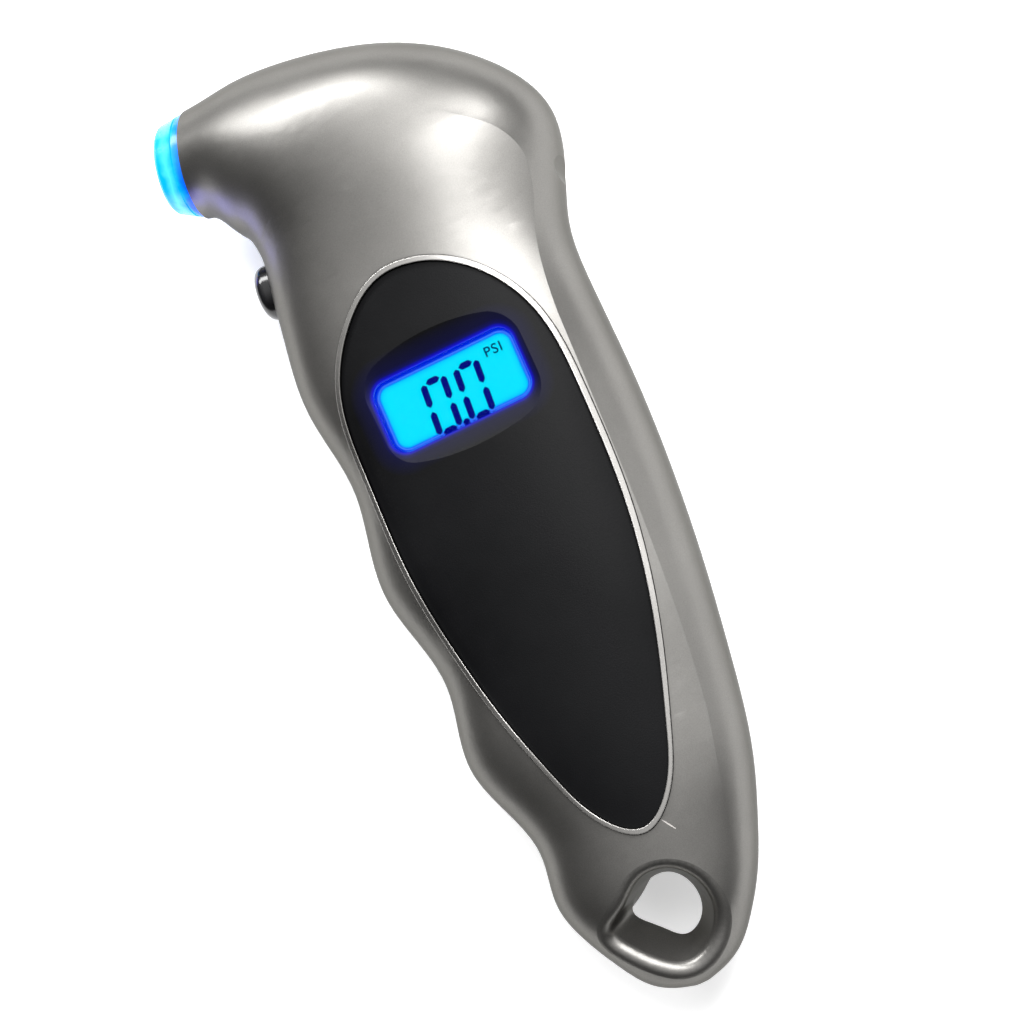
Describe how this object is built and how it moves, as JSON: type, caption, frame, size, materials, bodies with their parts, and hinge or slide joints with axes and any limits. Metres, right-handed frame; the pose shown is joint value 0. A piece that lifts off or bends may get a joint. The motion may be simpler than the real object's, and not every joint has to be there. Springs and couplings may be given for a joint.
{
  "type": "tire pressure gauge",
  "caption": "Pistol-grip digital tyre pressure gauge with a lit display, a lit nozzle ring, finger grooves and a lanyard hole.",
  "frame": {"origin": "bottom centre of the whole gauge, lying on the flat foot of its back panel", "axes": "+Z out of the display, +Y up the handle to the head, -X where the nozzle and the finger grooves face"},
  "size_m": [0.0596, 0.1518, 0.0306],
  "materials": {
    "shell": "silver-grey metallic paint on ABS, satin",
    "trim": "silver paint, satin",
    "panel": "fine textured black",
    "lens": "clear polycarbonate, tinted by the lit display",
    "display": "lit liquid crystal glass",
    "light_guide": "milky acrylic",
    "led": "clear resin over a yellow die",
    "conductive_rubber": "striped conductive rubber",
    "board": "green solder mask",
    "chip_resin": "black potting resin",
    "steel": "zinc plated",
    "cell": "bright nickel",
    "translucent_ring": "frosted translucent acrylic, lit from behind",
    "brass": "turned, plain",
    "seal_rubber": "nitrile rubber",
    "button_rubber": "glossy black",
    "switch_black": "moulded black",
    "lead_red": "red insulation",
    "lead_black": "black insulation"
  },
  "bodies": {
    "case": {"front_shell": "shell", "back_shell": "shell", "front_trim": "trim", "back_trim": "trim", "front_panel": "panel", "back_panel": "panel", "display_lens": "lens", "display_glass": "display", "light_guide": "light_guide", "backlight_led": "led", "contact_strip": "conductive_rubber", "circuit_board": "board", "controller_chip": "chip_resin", "board_screws": "steel", "case_screws": "steel", "light_ring": "translucent_ring", "nozzle_body": "brass", "nozzle_seal": "seal_rubber", "depressor_pin": "steel", "sensor_pipe": "brass", "sensor_washer": "seal_rubber", "pressure_sensor": "steel", "ring_board": "board", "ring_leds": "led", "button_switch": "switch_black", "battery_tray": "switch_black", "button_cell_1": "cell", "button_cell_2": "cell", "button_cell_3": "cell", "plate_contact": "steel", "spring_contact": "steel", "sensor_leads": "lead_red", "ring_leads": "lead_black", "positive_lead": "lead_red", "negative_lead": "lead_black"},
    "button": {"power_button": "button_rubber", "switch_plunger": "switch_black"},
    "battery_door": {"battery_door": "panel"}
  },
  "joints": [
    {"name": "button_press", "type": "slide", "parent": "case", "child": "button", "axis": [0.9914, -0.1305, 0], "range_m": [0, 0.0005], "stiffness_N_per_m": 600, "springref_m": -0.001},
    {"name": "battery_door_lift", "type": "slide", "parent": "case", "child": "battery_door", "axis": [0, 0, -1], "range_m": [0, 0.03]}
  ]
}
